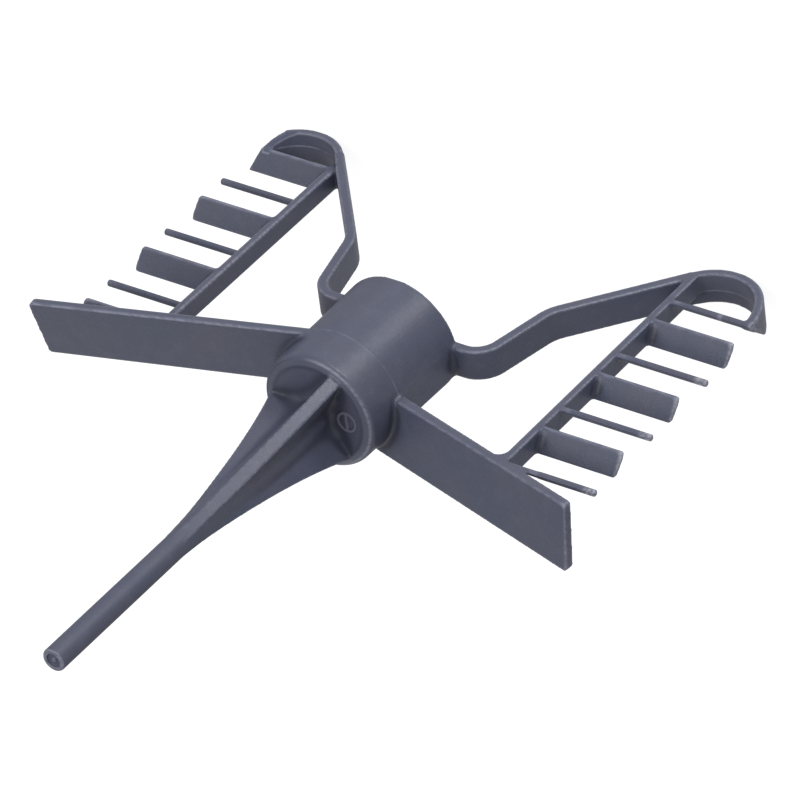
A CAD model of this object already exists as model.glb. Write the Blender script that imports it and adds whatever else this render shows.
import math

import bmesh
import bpy
import numpy as np
from mathutils import Matrix, Vector


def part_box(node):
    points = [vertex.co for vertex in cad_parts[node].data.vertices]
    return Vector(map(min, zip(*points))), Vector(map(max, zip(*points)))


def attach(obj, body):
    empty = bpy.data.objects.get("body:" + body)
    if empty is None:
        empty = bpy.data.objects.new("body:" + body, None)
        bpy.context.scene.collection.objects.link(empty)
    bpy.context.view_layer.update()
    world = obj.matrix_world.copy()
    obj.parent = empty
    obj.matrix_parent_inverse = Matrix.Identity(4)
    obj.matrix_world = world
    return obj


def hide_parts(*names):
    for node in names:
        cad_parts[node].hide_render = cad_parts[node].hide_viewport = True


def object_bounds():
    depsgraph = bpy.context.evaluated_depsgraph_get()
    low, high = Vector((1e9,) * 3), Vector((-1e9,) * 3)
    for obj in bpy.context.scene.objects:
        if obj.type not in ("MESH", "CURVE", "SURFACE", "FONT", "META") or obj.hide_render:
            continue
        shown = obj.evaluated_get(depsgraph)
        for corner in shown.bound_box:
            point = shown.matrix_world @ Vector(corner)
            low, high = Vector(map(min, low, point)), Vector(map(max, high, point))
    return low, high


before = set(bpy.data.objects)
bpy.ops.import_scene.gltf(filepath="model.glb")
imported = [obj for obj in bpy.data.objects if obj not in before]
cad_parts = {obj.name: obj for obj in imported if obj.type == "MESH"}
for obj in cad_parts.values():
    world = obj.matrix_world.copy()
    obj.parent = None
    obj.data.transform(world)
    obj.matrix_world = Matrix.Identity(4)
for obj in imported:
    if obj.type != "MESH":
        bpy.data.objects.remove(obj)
cad_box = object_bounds()

MM = 0.001

# Places in the row frame, in metres, most of them read from the CAD nodes
HUB_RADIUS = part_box("hub_skirt")[1].y
HUB_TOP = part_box("hub_crown")[1].z
RING_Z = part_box("hub_skirt")[1].z
ROD_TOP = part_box("stem_rod")[1].z
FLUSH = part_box("spine_left")[1].y
FLOOR_Z = cad_box[0].z
SCUFF_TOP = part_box("pin_tooth_right_4")[1].z + 0.5 * MM
LOOP_CENTRE = (50 * MM, -33.6 * MM)
LOOP_RADIUS = 9.9 * MM

# The moulded skin: how finely it is meshed, and how much it is smoothed
VOXEL = 0.25 * MM
ROUND_STEPS = 3
ROUND_SHARE = 0.5
EVEN_STEPS = 8
EVEN_IN = 0.60
EVEN_OUT = 0.62
FILLET_STEPS = 30
FILLET_SHARE = 0.6
STEM_FILLET_STEPS = 60
STEM_FILLET_REACH = 6 * MM
CROWN_FILLET = 0.1
CROWN_REACH = 2.5 * MM
CREVICE_STEPS = 150
CREVICE_LIMIT = 4

# Small moulding features: parting ring, swelled thin teeth, step in the loops
RING_HEIGHT = 0.06 * MM
RING_WIDTH = 0.22 * MM
PIN_SWELL = 0.09 * MM
PIN_ROOT = 1 * MM
LEDGE_DEPTH = 4.0 * MM
LEDGE_STEP = 0.20 * MM
LOOP_WALL = 1.7 * MM

# Rubbed places: the hub's rim, the nick in a thin tooth, the step in the loops
RIM_IN = 1.15 * MM
RIM_SIDE = 3 * MM
RIM_RUBBED = 0.20
RIM_CLEAN = 0.30
NICK_OUT = 54.7 * MM
NICK_RUBBED = 0.6
LEDGE_RUBBED = 0.30
PIN_WEAR = 0.4

# Where the skin is cut into pieces
WING_CUT_X = HUB_RADIUS + 0.3 * MM
STEM_CUT_Z = HUB_TOP + 0.5 * MM
ROD_CUT_Z = 80 * MM
TOOTH_CUT_X = 44.3 * MM
BLADE_PIN_CUT_X = 50 * MM
TOOTH_ROOM = 0.8 * MM
CUT_REACH = 2 * VOXEL
JOINED_TEETH = {"left": "wide_tooth_left_1", "right": "pin_tooth_right_1"}
BLADE_PIN = "pin_tooth_right_4"

# The stem's tip
ROD_RADIUS = 2.5 * MM
TIP_CHAMFER = 0.45 * MM
DIMPLE_RADIUS = 1.55 * MM
DIMPLE_DEPTH = 0.5 * MM
GATE_RADIUS = 0.6 * MM
GATE_HEIGHT = 0.3 * MM
TIP_ROUND = 0.12 * MM
DIMPLE_ROUND = 0.3 * MM
TIP_RUBBED = 0.45
ROD_SIDES = 72

# The studio: light direction, size in metres and power in watts
LIGHT_DISTANCE = 1.4
LIGHTS = {
    "key": ((-0.30, -0.95, 0.0), 0.4, 7.5),
    "top": ((0.10, -0.40, 0.90), 1.0, 9.5),
    "fill": ((0.10, 1.00, 0.30), 1.0, 1.8),
    "low": ((0.27, -0.80, -0.53), 1.0, 2),
    "glint": ((-0.34, -0.72, -0.50), 0.3, 4),
}
SURROUND = 0.46
FLOOR_SIZE = 4
FLOOR_GLOW = 0.90

# The camera, at the photograph's angle
CAMERA_PLACE = Vector((-0.82012, -0.93229, 1.01788))
CAMERA_TARGET = Vector((-0.003145, 0.010415, 0.007172))
CAMERA_UP = Vector((0.26508, -0.80262, -0.53435))
CAMERA_LENS = 369.5
CAMERA_SENSOR = 36

# The slate plastic's colours, and the sizes of what varies over it
SLATE = (0.068, 0.075, 0.116, 1)
SLATE_COOL = (0.060, 0.071, 0.113, 1)
SLATE_WARM = (0.078, 0.078, 0.116, 1)
RUBBED = (0.180, 0.188, 0.250, 1)
SCUFFED = (0.360, 0.365, 0.420, 1)
DEEP = (0.020, 0.022, 0.036, 1)
CLOUD_SIZE = 14 * MM
BLOTCH_SIZE = 3 * MM
SCRATCH_SIZE = 0.6 * MM
SCUFF_SIZE = 0.7 * MM
GRAIN_SIZE = 0.22 * MM
FINE_SIZE = 0.24 * MM
WAVE_SIZE = 6 * MM
GLOSS_SIZE = 5 * MM
SCUFF_START = 60.8 * MM
SCUFF_END = 62.4 * MM


# ------------------------------------------------------------------- helpers
def link(name, mesh):
    """A new object for a mesh, in the row frame."""
    piece = bpy.data.objects.new(name, mesh)
    bpy.context.scene.collection.objects.link(piece)
    return piece


def node_names(*starts):
    """Names of the CAD nodes that begin with any of these words."""
    return sorted(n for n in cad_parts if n.startswith(starts))


def place(piece, material, nodes):
    """Give a piece its material, and let it ride in place of its CAD nodes."""
    piece.data.materials.clear()
    piece.data.materials.append(material)
    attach(piece, "root")
    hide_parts(*nodes)


def read(items, field, width, kind=np.float32):
    """A field of mesh items as an array."""
    values = np.empty(len(items) * width, kind)
    items.foreach_get(field, values)
    values = values.reshape(-1, width) if width > 1 else values
    return values.astype(float) if kind is np.float32 else values


def write(mesh, name, values):
    """A value for each vertex, kept in a mesh attribute."""
    field = mesh.attributes.new(name, "FLOAT", "POINT")
    field.data.foreach_set("value", values.astype(np.float32))


def move_to(mesh, points):
    """Put the vertices at these points."""
    mesh.vertices.foreach_set("co", points.astype(np.float32).ravel())
    mesh.update()


# ------------------------------------------------- the moulding's one surface
def joined_nodes(nodes):
    """The CAD nodes united into one closed mesh."""
    parts = []
    for name in nodes:
        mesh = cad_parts[name].data.copy()
        mesh.materials.clear()
        welded = bmesh.new()
        welded.from_mesh(mesh)
        bmesh.ops.remove_doubles(welded, verts=welded.verts, dist=0.002 * MM)
        welded.to_mesh(mesh)
        welded.free()
        parts.append(link("part_" + name, mesh))
    others = bpy.data.collections.new("others")
    for part in parts[1:]:
        others.objects.link(part)
    unite = parts[0].modifiers.new("unite", "BOOLEAN")
    unite.operation = "UNION"
    unite.operand_type = "COLLECTION"
    unite.collection = others
    unite.solver = "EXACT"
    graph = bpy.context.evaluated_depsgraph_get()
    mesh = bpy.data.meshes.new_from_object(parts[0].evaluated_get(graph))
    for part in parts:
        bpy.data.objects.remove(part)
    bpy.data.collections.remove(others)
    return mesh


def voxel_skin(mesh):
    """An even skin of small quads over a closed mesh."""
    source = link("source", mesh)
    remesh = source.modifiers.new("skin", "REMESH")
    remesh.mode = "VOXEL"
    remesh.voxel_size = VOXEL
    graph = bpy.context.evaluated_depsgraph_get()
    skin = bpy.data.meshes.new_from_object(source.evaluated_get(graph))
    bpy.data.objects.remove(source)
    return skin


class Neighbours:
    """Means over each vertex's neighbours."""

    def __init__(self, mesh):
        pairs = read(mesh.edges, "vertices", 2, np.int32)
        self.a = np.concatenate((pairs[:, 0], pairs[:, 1]))
        self.b = np.concatenate((pairs[:, 1], pairs[:, 0]))
        self.size = len(mesh.vertices)
        self.count = np.maximum(np.bincount(self.a, minlength=self.size), 1)

    def mean(self, values, steps=1):
        for _ in range(steps):
            if values.ndim > 1:
                sums = [np.bincount(self.a, column[self.b], self.size) for column in values.T]
                values = np.stack(sums, 1) / self.count[:, None]
            else:
                values = np.bincount(self.a, values[self.b], self.size) / self.count
        return values


def proudness(points, normals, near):
    """How far each vertex stands out of its surroundings: edges above 0, corners below."""
    lifted = np.einsum("ij,ij->i", points - near.mean(points, 4), normals)
    return near.mean(lifted / VOXEL, 3)


def bell(values, middle, width):
    """1 at the middle, falling to 0 a few widths away."""
    return np.exp(-(((values - middle) / width) ** 2))


def step(values, start, width):
    """0 before the start, 1 after it."""
    return 1 / (1 + np.exp(-(values - start) / width))


def pull(points, near, share, steps=1):
    """Move each vertex a share of the way to the mean of its neighbours."""
    for _ in range(steps):
        points += share * (near.mean(points) - points)


def pin_share(points):
    """1 on the thin teeth, 0 elsewhere, with a soft change near their roots."""
    share = np.zeros(len(points))
    for node in node_names("pin_tooth"):
        low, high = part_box(node)
        side = 1 if low.x > 0 else -1
        near_z = (points[:, 2] > low.z - 0.4 * MM) & (points[:, 2] < high.z + 0.4 * MM)
        start = BLADE_PIN_CUT_X if node == BLADE_PIN else TOOTH_CUT_X
        out = step(side * points[:, 0], start + PIN_ROOT, 0.3 * MM)
        share = np.maximum(share, near_z * out)
    return share


def smoothed(mesh, points, near):
    """Round the edges, even out the ripples, and fill the inner corners."""
    pull(points, near, ROUND_SHARE, ROUND_STEPS)
    for _ in range(EVEN_STEPS):
        pull(points, near, EVEN_IN)
        pull(points, near, -EVEN_OUT)
    lowered = -proudness(points, read(mesh.vertex_normals, "vector", 3), near)
    hollow = np.clip(lowered * 6, 0, 1)
    radius = np.hypot(points[:, 0], points[:, 1])
    on_crown = abs(points[:, 2] - HUB_TOP) < CROWN_REACH
    on_crown &= (radius > 3 * MM) & (radius < HUB_RADIUS)
    weight = np.clip(near.mean(hollow, 3) * 1.6, 0, 1)[:, None] * FILLET_SHARE
    weight[on_crown] *= CROWN_FILLET
    pull(points, near, weight, FILLET_STEPS)

    between_fins = (points[:, 2] > HUB_TOP - 1 * MM) & (radius < STEM_FILLET_REACH)
    weight = np.clip(near.mean(hollow * between_fins, 10) * 3, 0, 1)[:, None]
    pull(points, near, weight * FILLET_SHARE, STEM_FILLET_STEPS)


def raised_ring(points):
    """Raise the mould's parting line round the hub."""
    radius = np.hypot(points[:, 0], points[:, 1])
    on_hub = (radius > HUB_RADIUS - 1.2 * MM) & (radius < HUB_RADIUS + 0.05 * MM)
    ring = RING_HEIGHT * bell(points[:, 2], RING_Z, RING_WIDTH) * on_hub
    points[:, :2] *= (1 + ring / np.maximum(radius, MM))[:, None]
    return radius


def rubbed_rim(points, radius):
    """Wear on the hub's rim: rubbed on one side, clean on the other."""
    rim = bell(radius, HUB_RADIUS - RIM_IN, 0.30 * MM)
    rim *= abs(points[:, 2] - HUB_TOP) < 0.9 * MM
    worn = RIM_RUBBED * step(-points[:, 0], -RIM_SIDE, 1.5 * MM)
    clean = RIM_CLEAN * step(points[:, 0], RIM_SIDE, 1.5 * MM)
    return rim * (worn - clean)


def rubbed_nick(points):
    """Wear at the nick in the thin tooth that closes the right loop."""
    low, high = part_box(JOINED_TEETH["right"])
    on_pin = (points[:, 2] > low.z - 0.2 * MM) & (points[:, 2] < high.z + 0.2 * MM)
    return NICK_RUBBED * bell(points[:, 0], -NICK_OUT, 0.35 * MM) * on_pin


def stepped_loop(points, side):
    """Cut the step inside a loop, and give the wear along it."""
    out = side * points[:, 0] - LOOP_CENTRE[0]
    up = points[:, 2] - LOOP_CENTRE[1]
    depth = FLUSH - side * points[:, 1]
    away = np.hypot(out, up)
    inside = (away > LOOP_RADIUS - LOOP_WALL) & (away < LOOP_RADIUS) & (up < -1 * MM)
    shift = LEDGE_STEP * step(depth, LEDGE_DEPTH, 0.06 * MM) * inside
    points[:, 0] += side * shift * out / np.maximum(away, MM)
    points[:, 2] += shift * up / np.maximum(away, MM)
    return LEDGE_RUBBED * bell(depth, LEDGE_DEPTH, 0.20 * MM) * inside


def moulded(mesh):
    """Smooth the skin, add the mould's lines and steps, and note its worn places."""
    near = Neighbours(mesh)
    points = read(mesh.vertices, "co", 3)
    smoothed(mesh, points, near)
    radius = raised_ring(points)
    rubbed = rubbed_rim(points, radius) + rubbed_nick(points)
    for side in (1, -1):
        rubbed += stepped_loop(points, side)
    move_to(mesh, points)

    normals = read(mesh.vertex_normals, "vector", 3)
    pins = pin_share(points)
    points += normals * (PIN_SWELL * pins)[:, None]
    move_to(mesh, points)

    proud = proudness(points, normals, near) * (1 - (1 - PIN_WEAR) * pins)
    write(mesh, "edge_wear", np.clip(proud + rubbed, -1, 1))
    around = near.mean(points, CREVICE_STEPS)
    sunk = np.einsum("ij,ij->i", around - points, normals) / VOXEL
    write(mesh, "crevice", np.clip(near.mean(sunk, 4), 0, CREVICE_LIMIT))
    kept = mesh.attributes.new("skin_normal", "FLOAT_VECTOR", "POINT")
    kept.data.foreach_set("vector", normals.astype(np.float32).ravel())
    return mesh


# -------------------------------------------------- cutting it into its pieces
def tooth_ranges():
    """The free teeth: piece name, CAD node, side, and the cut's place and heights."""
    found = []
    for node in node_names("pin_tooth", "wide_tooth"):
        if node in JOINED_TEETH.values():
            continue
        low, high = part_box(node)
        side = 1 if low.x > 0 else -1
        cut_x = BLADE_PIN_CUT_X if node == BLADE_PIN else TOOTH_CUT_X
        name = node.replace("pin_", "slim_").replace("wide_", "broad_")
        found.append((name, node, side, cut_x, low.z - TOOTH_ROOM, high.z + TOOTH_ROOM))
    return found


def faces_near(middle, axis, place, limits):
    """The faces close to a plane across an axis, inside limits on other axes."""
    near = abs(middle[:, axis] - place) < CUT_REACH
    for other, low, high in limits:
        near &= (middle[:, other] > low) & (middle[:, other] < high)
    return np.nonzero(near)[0]


def bisect(mesh, cuts):
    """Cut the skin along planes across the axes, each only near its own place."""
    whole = bmesh.new()
    whole.from_mesh(mesh)
    whole.faces.ensure_lookup_table()
    middle = read(mesh.polygons, "center", 3)
    chosen = [[whole.faces[i] for i in faces_near(middle, *cut)] for cut in cuts]
    for faces, (axis, place, _) in zip(chosen, cuts):
        point = [0, 0, 0]
        normal = [0, 0, 0]
        point[axis] = place
        normal[axis] = 1
        edges = {e for f in faces for e in f.edges}
        corners = {v for f in faces for v in f.verts}
        bmesh.ops.bisect_plane(
            whole,
            geom=faces + list(edges) + list(corners),
            dist=0.001 * MM,
            plane_co=point,
            plane_no=normal,
        )
    whole.to_mesh(mesh)
    whole.free()


def piece_of(name, skin, keep):
    """One closed piece: some of the skin's faces, with its cuts capped."""
    start = read(skin.polygons, "loop_start", 1, np.int32)[keep]
    total = read(skin.polygons, "loop_total", 1, np.int32)[keep]
    first = np.concatenate(([0], np.cumsum(total)[:-1]))
    corner = np.arange(total.sum()) - np.repeat(first, total) + np.repeat(start, total)
    corners = read(skin.loops, "vertex_index", 1, np.int32)[corner]
    used, index = np.unique(corners, return_inverse=True)
    places = read(skin.vertices, "co", 3)[used]
    mesh = bpy.data.meshes.new(name)
    mesh.vertices.add(len(used))
    mesh.vertices.foreach_set("co", places.astype(np.float32).ravel())
    mesh.loops.add(len(index))
    mesh.loops.foreach_set("vertex_index", index.astype(np.int32))
    mesh.polygons.add(len(first))
    mesh.polygons.foreach_set("loop_start", first.astype(np.int32))
    mesh.update(calc_edges=True)
    for field in ("edge_wear", "crevice"):
        write(mesh, field, read(skin.attributes[field].data, "value", 1)[used])
    normals = read(skin.attributes["skin_normal"].data, "vector", 3)[used]

    closed = bmesh.new()
    closed.from_mesh(mesh)
    open_edges = [e for e in closed.edges if e.is_boundary]
    caps = bmesh.ops.holes_fill(closed, edges=open_edges, sides=0)["faces"]
    bmesh.ops.triangulate(closed, faces=caps)
    closed.to_mesh(mesh)
    closed.free()
    mesh.polygons.foreach_set("use_smooth", np.ones(len(mesh.polygons), bool))
    mesh.normals_split_custom_set_from_vertices(normals.tolist())
    return link(name, mesh)


def split_moulding(skin):
    """The skin's pieces, each with the CAD nodes it stands for."""
    teeth = tooth_ranges()
    hub_side = (0, -HUB_RADIUS, HUB_RADIUS)
    cuts = [(0, side * WING_CUT_X, [(2, -math.inf, HUB_TOP)]) for side in (1, -1)]
    cuts += [(2, z, [hub_side]) for z in (STEM_CUT_Z, ROD_CUT_Z)]
    cuts += [(0, side * x, [(2, low, high)]) for _, _, side, x, low, high in teeth]
    bisect(skin, cuts)

    middle = read(skin.polygons, "center", 3)
    x, z = middle[:, 0], middle[:, 2]
    central = abs(x) < WING_CUT_X
    upper = central & (z > STEM_CUT_Z)
    free = np.ones(len(middle), bool)
    pieces = []
    for name, node, side, cut_x, low, high in teeth:
        keep = (side * x > cut_x) & (z > low) & (z < high) & free
        free &= ~keep
        pieces.append((piece_of(name, skin, keep), [node]))
    hub_nodes = ["hub_skirt", "hub_crown"]
    pieces.append((piece_of("hub", skin, central & (z < STEM_CUT_Z)), hub_nodes))
    stem_nodes = node_names("stem_fin") + ["stem_rod"]
    pieces.append((piece_of("stem", skin, upper & (z < ROD_CUT_Z)), stem_nodes))
    for wing, side in (("left", 1), ("right", -1)):
        keep = (side * x > WING_CUT_X) & free
        nodes = [f"{part}_{wing}" for part in ("arm", "loop", "spine", "blade")]
        pieces.append((piece_of(f"wing_{wing}", skin, keep), nodes + [JOINED_TEETH[wing]]))
    return pieces


# --------------------------------------------------------------- stem's tip
def rod_profile(base_radius):
    """Radius and height along the plain rod, over its rounded tip into the dimple."""
    line = [(0, ROD_CUT_Z), (base_radius, ROD_CUT_Z), (base_radius, ROD_CUT_Z + 0.2 * MM)]
    for share in np.linspace(0.15, 1, 12):
        radius = base_radius + (ROD_RADIUS - base_radius) * min(1, share * 2)
        line.append((radius, ROD_CUT_Z + share * (ROD_TOP - TIP_CHAMFER * 2 - ROD_CUT_Z)))
    for turn in np.linspace(0, math.pi / 2, 7):
        line.append((
            ROD_RADIUS - TIP_CHAMFER * (1 - math.cos(turn)),
            ROD_TOP - TIP_CHAMFER * (1 - math.sin(turn)),
        ))
    for turn in np.linspace(0, math.pi / 2, 4):
        line.append((
            DIMPLE_RADIUS + TIP_ROUND * (1 - math.sin(turn)),
            ROD_TOP - TIP_ROUND * (1 - math.cos(turn)),
        ))
    floor = ROD_TOP - DIMPLE_DEPTH
    for turn in np.linspace(0, math.pi / 2, 5):
        line.append((
            DIMPLE_RADIUS - DIMPLE_ROUND * (1 - math.cos(turn)),
            floor + DIMPLE_ROUND * (1 - math.sin(turn)),
        ))
    line += [
        (GATE_RADIUS + TIP_ROUND, floor),
        (GATE_RADIUS, floor + 0.06 * MM),
        (GATE_RADIUS * 0.85, floor + GATE_HEIGHT - 0.05 * MM),
        (GATE_RADIUS * 0.6, floor + GATE_HEIGHT),
        (0, floor + GATE_HEIGHT * 0.9),
    ]
    return line


def stem_tip(base_radius):
    """The upper rod and its dimpled tip, turned about the stem."""
    tip = bmesh.new()
    line = rod_profile(base_radius)
    rings = []
    for radius, height in line:
        if radius == 0:
            rings.append([tip.verts.new((0, 0, height))])
            continue
        rings.append([
            tip.verts.new((radius * math.cos(a), radius * math.sin(a), height))
            for a in np.linspace(0, 2 * math.pi, ROD_SIDES, endpoint=False)
        ])
    for lower, higher in zip(rings, rings[1:]):
        for i in range(ROD_SIDES):
            j = (i + 1) % ROD_SIDES
            if len(lower) == 1:
                tip.faces.new((lower[0], higher[j], higher[i]))
            elif len(higher) == 1:
                tip.faces.new((lower[i], lower[j], higher[0]))
            else:
                tip.faces.new((lower[i], lower[j], higher[j], higher[i]))
    bmesh.ops.recalc_face_normals(tip, faces=tip.faces)
    mesh = bpy.data.meshes.new("stem_tip")
    tip.to_mesh(mesh)
    tip.free()
    mesh.polygons.foreach_set("use_smooth", np.ones(len(mesh.polygons), bool))
    mesh.set_sharp_from_angle(angle=math.radians(50))
    heights = read(mesh.vertices, "co", 3)[:, 2]
    write(mesh, "edge_wear", TIP_RUBBED * bell(heights, ROD_TOP, TIP_CHAMFER * 0.6))
    return link("stem_tip", mesh)


# ---------------------------------------------------------------- materials
class Nodes:
    """Short words for building a material's nodes."""

    def __init__(self, name):
        self.material = bpy.data.materials.new(name)
        self.material.use_nodes = True
        self.tree = self.material.node_tree
        self.shader = self.tree.nodes["Principled BSDF"]
        self.place = self.add("ShaderNodeTexCoord").outputs["Object"]

    def add(self, kind, **values):
        node = self.tree.nodes.new(kind)
        for field, value in values.items():
            setattr(node, field, value)
        return node

    def set(self, socket, value):
        if isinstance(value, bpy.types.NodeSocket):
            self.tree.links.new(value, socket)
        else:
            socket.default_value = value

    def noise(self, feature, detail=2, stretch=None):
        """Noise from 0 to 1 whose features have about this size in metres."""
        node = self.add("ShaderNodeTexNoise")
        node.inputs["Scale"].default_value = 1 / feature
        node.inputs["Detail"].default_value = detail
        place = self.place
        if stretch:
            mapping = self.add("ShaderNodeMapping")
            mapping.inputs["Scale"].default_value = stretch
            self.set(mapping.inputs["Vector"], place)
            place = mapping.outputs["Vector"]
        self.set(node.inputs["Vector"], place)
        return node.outputs["Fac"]

    def math(self, operation, *values):
        node = self.add("ShaderNodeMath", operation=operation)
        for socket, value in zip(node.inputs, values):
            self.set(socket, value)
        return node.outputs[0]

    def ramp(self, value, low, high, start=0.0, end=1.0):
        """Value mapped smoothly from low..high to start..end."""
        node = self.add("ShaderNodeMapRange", interpolation_type="SMOOTHSTEP")
        limits = {"From Min": low, "From Max": high, "To Min": start, "To Max": end}
        for name, number in limits.items():
            node.inputs[name].default_value = number
        self.set(node.inputs["Value"], value)
        return node.outputs["Result"]

    def mix(self, factor, first, second, blend="MIX"):
        node = self.add("ShaderNodeMix", data_type="RGBA", blend_type=blend)
        self.set(node.inputs["Factor"], factor)
        self.set(node.inputs[6], first)
        self.set(node.inputs[7], second)
        return node.outputs[2]

    def bump(self, height, distance, strength=1.0, below=None):
        node = self.add("ShaderNodeBump")
        node.inputs["Distance"].default_value = distance
        node.inputs["Strength"].default_value = strength
        self.set(node.inputs["Height"], height)
        if below is not None:
            self.set(node.inputs["Normal"], below)
        return node.outputs["Normal"]


def slate_plastic(name, rubbed):
    """Dark slate moulded plastic: fine grain, rubbed edges, pale scuffs on the tips."""
    n = Nodes(name)
    wear = n.add("ShaderNodeAttribute", attribute_name="edge_wear").outputs["Fac"]
    axes = n.add("ShaderNodeSeparateXYZ")
    n.set(axes.inputs["Vector"], n.place)
    across, height = axes.outputs["X"], axes.outputs["Z"]
    out = n.math("ABSOLUTE", across)

    # The body's colour: clouds, blotches and grain
    clouds = n.noise(CLOUD_SIZE, detail=3)
    blotches = n.noise(BLOTCH_SIZE, detail=3)
    grain = n.noise(GRAIN_SIZE, detail=1)
    body = n.mix(n.ramp(clouds, 0.35, 0.65), SLATE_COOL, SLATE_WARM)
    body = n.mix(0.5, body, SLATE)
    body = n.mix(n.ramp(blotches, 0.45, 0.75, 0.0, 0.07), body, RUBBED)
    body = n.mix(n.ramp(grain, 0.56, 0.72, 0.0, 0.22), body, RUBBED)

    # Rubbed edges, broken up by scratches, and darker inner corners
    scratch = n.noise(SCRATCH_SIZE, detail=2, stretch=(0.25, 1.0, 1.0))
    broken = n.math("MULTIPLY", n.ramp(scratch, 0.35, 0.62), 0.6)
    edge = n.math("MULTIPLY", n.ramp(wear, 0.10, 0.32), n.math("ADD", broken, 0.4))
    body = n.mix(edge, body, RUBBED)
    crevice = n.add("ShaderNodeAttribute", attribute_name="crevice").outputs["Fac"]
    recess = n.ramp(crevice, 0.1, 1.4, 0.0, 0.55)
    corner = n.ramp(n.math("MULTIPLY", wear, -1.0), 0.03, 0.25, 0.0, 0.75)
    body = n.mix(n.math("MAXIMUM", recess, corner), body, DEEP)

    # The parting ring's crest on the hub
    ring = n.math("ABSOLUTE", n.math("SUBTRACT", height, RING_Z))
    on_hub = n.ramp(out, HUB_RADIUS, HUB_RADIUS + 0.5 * MM, 1.0, 0.0)
    ring = n.math("MULTIPLY", n.ramp(ring, 0.05 * MM, 0.16 * MM, 0.55, 0.0), on_hub)
    body = n.mix(n.math("MULTIPLY", ring, n.ramp(blotches, 0.35, 0.6)), body, RUBBED)

    # Scuffs on the tips of the right wing's teeth
    tips = n.ramp(out, SCUFF_START, SCUFF_END)
    for share in (
        n.ramp(wear, 0.0, 0.10, 0.25, 1.0),
        n.ramp(n.noise(SCUFF_SIZE, detail=2), 0.34, 0.66, 0.15, 0.75),
        n.ramp(across, -10 * MM, 10 * MM, 1.0, 0.15),
        n.ramp(height, SCUFF_TOP - 0.3 * MM, SCUFF_TOP, 1.0, 0.2),
    ):
        tips = n.math("MULTIPLY", tips, share)
    body = n.mix(tips, body, SCUFFED)
    body = n.mix(rubbed, body, SCUFFED)
    n.set(n.shader.inputs["Base Color"], body)

    # Satin gloss, a little duller along the rod
    uneven = n.math("MULTIPLY", n.noise(GLOSS_SIZE, detail=2), 0.14)
    rough = n.math("ADD", 0.30, uneven)
    rough = n.math("SUBTRACT", rough, n.math("MULTIPLY", edge, 0.05))
    rough = n.math("ADD", rough, n.ramp(height, 45 * MM, 80 * MM, 0.0, 0.16))
    n.set(n.shader.inputs["Roughness"], rough)
    n.shader.inputs["IOR"].default_value = 1.47

    waves = n.bump(n.noise(WAVE_SIZE, detail=1), 0.04 * MM, 0.4)
    fine = n.bump(n.noise(FINE_SIZE, detail=1), 0.045 * MM, 1.0, waves)
    n.set(n.shader.inputs["Normal"], fine)
    return n.material


def pale_floor():
    """Near-white matte floor that glows a little, as a lit studio table does."""
    n = Nodes("pale_floor")
    tone = n.ramp(n.noise(0.4, detail=1), 0.3, 0.7)
    paper = n.mix(tone, (0.24, 0.24, 0.24, 1), (0.26, 0.26, 0.26, 1))
    n.set(n.shader.inputs["Base Color"], paper)
    n.shader.inputs["Roughness"].default_value = 0.9
    n.shader.inputs["Emission Color"].default_value = (1, 1, 1, 1)
    n.shader.inputs["Emission Strength"].default_value = FLOOR_GLOW
    return n.material


# --------------------------------------------------- floor, light and camera
def floor():
    """A wide plain floor under the object's lowest point."""
    sheet = bmesh.new()
    bmesh.ops.create_grid(sheet, x_segments=4, y_segments=4, size=FLOOR_SIZE)
    mesh = bpy.data.meshes.new("floor")
    sheet.to_mesh(mesh)
    sheet.free()
    piece = link("floor", mesh)
    piece.location.z = FLOOR_Z
    piece.visible_diffuse = False
    piece.visible_glossy = False
    piece.visible_shadow = False
    mesh.materials.append(pale_floor())


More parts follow.
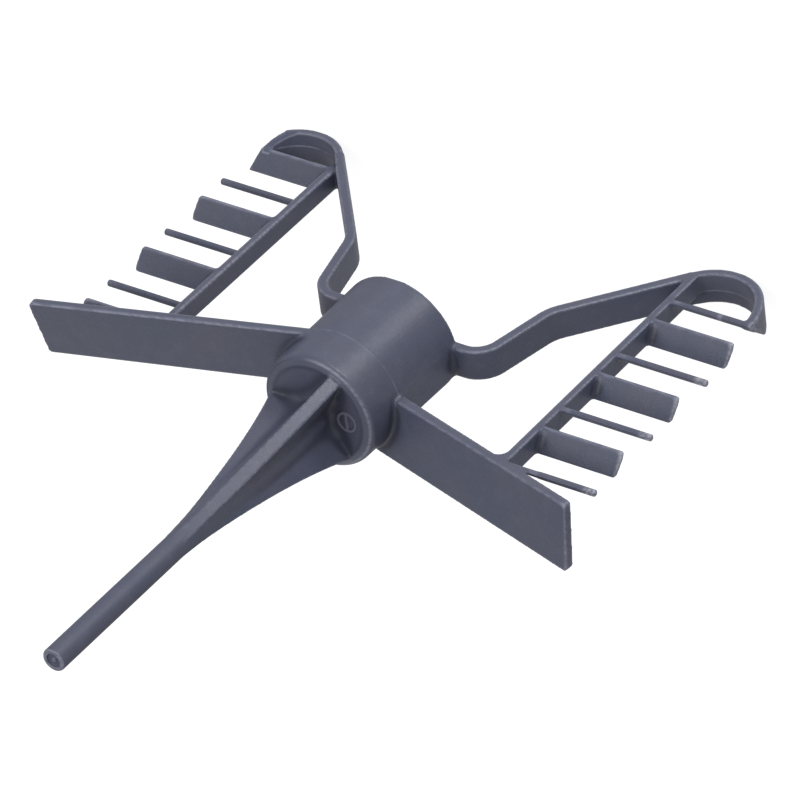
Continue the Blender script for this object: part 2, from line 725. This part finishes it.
def soft_light(name, direction, size, power):
    """A square soft box that faces the object from a direction."""
    data = bpy.data.lights.new(name, "AREA")
    data.size = size
    data.energy = power
    lamp = bpy.data.objects.new(name, data)
    bpy.context.scene.collection.objects.link(lamp)
    lamp.location = Vector(direction).normalized() * LIGHT_DISTANCE
    lamp.rotation_mode = "QUATERNION"
    lamp.rotation_quaternion = (-lamp.location).to_track_quat("-Z", "Y")


def studio(strength):
    """An even white surround."""
    world = bpy.data.worlds.new("studio")
    world.use_nodes = True
    background = world.node_tree.nodes["Background"]
    background.inputs["Color"].default_value = (1, 1, 1, 1)
    background.inputs["Strength"].default_value = strength
    bpy.context.scene.world = world
    bpy.context.scene.view_settings.view_transform = "Standard"


def camera(location, target, up, lens):
    """A camera at a place, aimed at a target, with the picture's up direction."""
    data = bpy.data.cameras.new("camera")
    data.lens = lens
    data.sensor_width = CAMERA_SENSOR
    data.clip_start = 0.1
    data.clip_end = 20
    cam = bpy.data.objects.new("camera", data)
    bpy.context.scene.collection.objects.link(cam)
    forward = (target - location).normalized()
    right = forward.cross(up).normalized()
    turn = Matrix((right, right.cross(forward), -forward)).transposed()
    cam.matrix_world = Matrix.Translation(location) @ turn.to_4x4()
    bpy.context.scene.camera = cam


# ------------------------------------------------------------------ assembly
slate = slate_plastic("slate_plastic", rubbed=0.0)
one_moulding = node_names("hub_s", "hub_c", "stem", "blade", "arm", "loop", "spine", "pin", "wide")
skin = moulded(voxel_skin(joined_nodes(one_moulding)))
for piece, nodes in split_moulding(skin):
    place(piece, slate, nodes)

# The tip is turned to the radius that the skin has where the rod is cut
spots = read(skin.vertices, "co", 3)
cut_edge = spots[abs(spots[:, 2] - ROD_CUT_Z) < 0.3 * VOXEL]
cut_radius = float(np.hypot(cut_edge[:, 0], cut_edge[:, 1]).mean())
place(stem_tip(cut_radius), slate, ["stem_rod"])

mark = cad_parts["hub_mark"]
mark.data.materials.clear()
mark.data.materials.append(slate_plastic("rubbed_slate", rubbed=0.2))

floor()
studio(SURROUND)
for name, (direction, size, power) in LIGHTS.items():
    soft_light(name, direction, size, power)
camera(CAMERA_PLACE, CAMERA_TARGET, CAMERA_UP, CAMERA_LENS)
